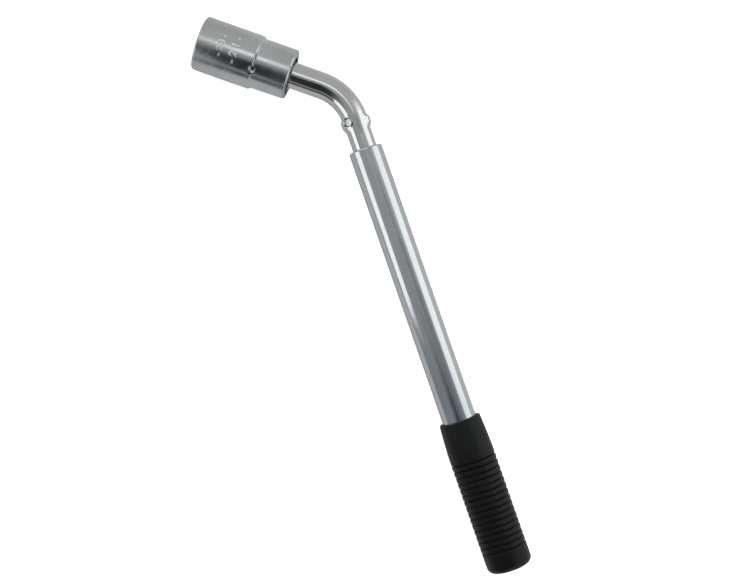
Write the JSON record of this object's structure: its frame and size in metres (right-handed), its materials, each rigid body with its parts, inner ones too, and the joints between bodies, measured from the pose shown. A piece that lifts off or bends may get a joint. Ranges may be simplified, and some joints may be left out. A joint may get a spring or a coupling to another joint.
{
  "type": "telescopic lug wrench",
  "caption": "Telescopic wheel wrench: bent round bar with a double-ended hexagonal socket on its square head, sliding in a chromed tube handle with a ribbed black grip.",
  "frame": {"origin": "bottom centre of the whole wrench's box, with the handle pushed in and the bend lying in a horizontal plane", "axes": "+Z normal to the plane of the bend; the socket's axis runs along X with its large 23 mm mouth towards -X; the handle leaves the bend towards +X and -Y at 51.4 degrees to the socket's axis"},
  "size_m": [0.2792, 0.2494, 0.032],
  "materials": {
    "chromed_socket": "bright chrome over a forged surface, with fine wear at the mouths",
    "chromed_bar": "bright chrome over a drawn and bent bar",
    "chromed_tube": "polished chrome tube with faint lengthwise scratches",
    "black_grip": "semi-matt moulded grip with a fine grain",
    "dark_plastic": "matt moulded plug",
    "bush_bronze": "oiled sintered bronze",
    "hard_steel": "ground hardened steel, lightly oiled",
    "spring_steel": "blued spring steel"
  },
  "bodies": {
    "bar": {"drive_bar": "chromed_bar", "stop_collar": "hard_steel", "collar_pin": "spring_steel", "drive_spring": "spring_steel", "handle_spring": "spring_steel"},
    "socket": {"socket": "chromed_socket"},
    "drive_ball": {"drive_ball": "hard_steel"},
    "bush": {"guide_bush": "bush_bronze"},
    "handle": {"handle_tube": "chromed_tube", "grip": "black_grip", "end_plug": "dark_plastic"},
    "handle_ball": {"handle_ball": "hard_steel"}
  },
  "joints": [
    {"name": "socket_slide", "type": "slide", "parent": "bar", "child": "socket", "axis": [-1, 0, 0], "range_m": [0, 0.042]},
    {"name": "handle_slide", "type": "slide", "parent": "bar", "child": "bush", "axis": [0.6239, -0.7815, 0], "range_m": [-0.01, 0.165]},
    {"name": "handle_spin", "type": "hinge", "parent": "bush", "child": "handle", "pos_m": [-0.02896, 0.08221, 0.016], "axis": [0.6239, -0.7815, 0], "continuous": true},
    {"name": "drive_ball_press", "type": "slide", "parent": "bar", "child": "drive_ball", "axis": [0, -0.454, 0.891], "range_m": [-0.0012, 0], "stiffness_N_per_m": 1500, "springref_m": 0.002, "deforming": ["drive_spring"]},
    {"name": "handle_ball_press", "type": "slide", "parent": "bar", "child": "handle_ball", "axis": [0, 0, 1], "range_m": [-0.0015, 0], "stiffness_N_per_m": 1500, "springref_m": 0.002, "deforming": ["handle_spring"]}
  ]
}
